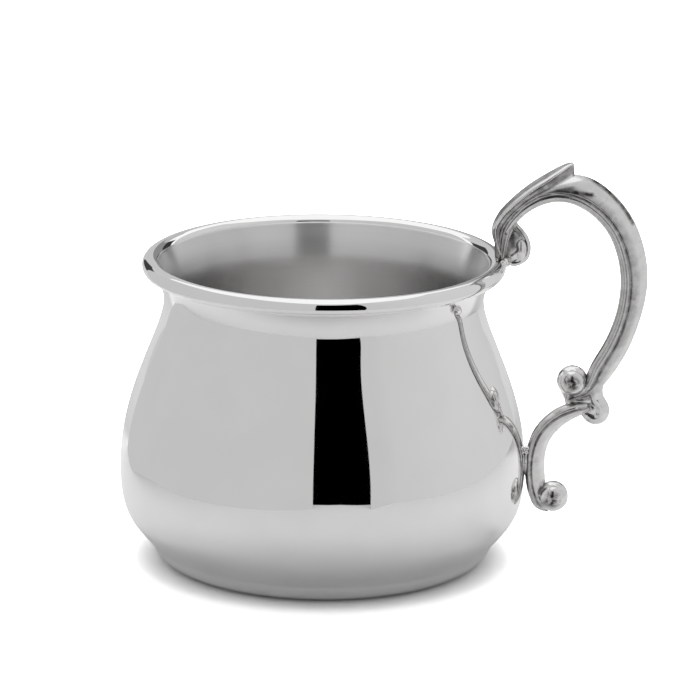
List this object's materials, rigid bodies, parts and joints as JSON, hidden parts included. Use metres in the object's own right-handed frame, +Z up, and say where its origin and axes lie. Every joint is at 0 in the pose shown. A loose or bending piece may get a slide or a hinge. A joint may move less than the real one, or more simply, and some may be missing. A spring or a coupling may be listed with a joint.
{
  "type": "baby cup",
  "caption": "Small bellied drinking cup on a low foot, with a beaded rim and a scrolled finger handle topped by a thumb leaf.",
  "frame": {"origin": "middle of the flat underside, on the cup's axis and on the surface that the cup stands on", "axes": "+Z up along the cup's axis, out of the mouth; +X from the axis towards the handle"},
  "size_m": [0.0965, 0.0748, 0.0756],
  "materials": {
    "polished_wall": "mirror-polished pewter, spun, with a fine satin inside",
    "polished_wire": "mirror-polished round wire",
    "cast_metal": "cast pewter, hand-polished, slightly uneven",
    "solder": "bright solder"
  },
  "bodies": {
    "root": {"cup_body": "polished_wall", "rim_bead": "polished_wire", "upper_scroll": "cast_metal", "thumb_leaf": "cast_metal", "upper_ball": "cast_metal", "lower_scroll": "cast_metal", "lower_ball": "cast_metal", "rim_solder": "solder", "belly_solder": "solder"}
  },
  "joints": []
}
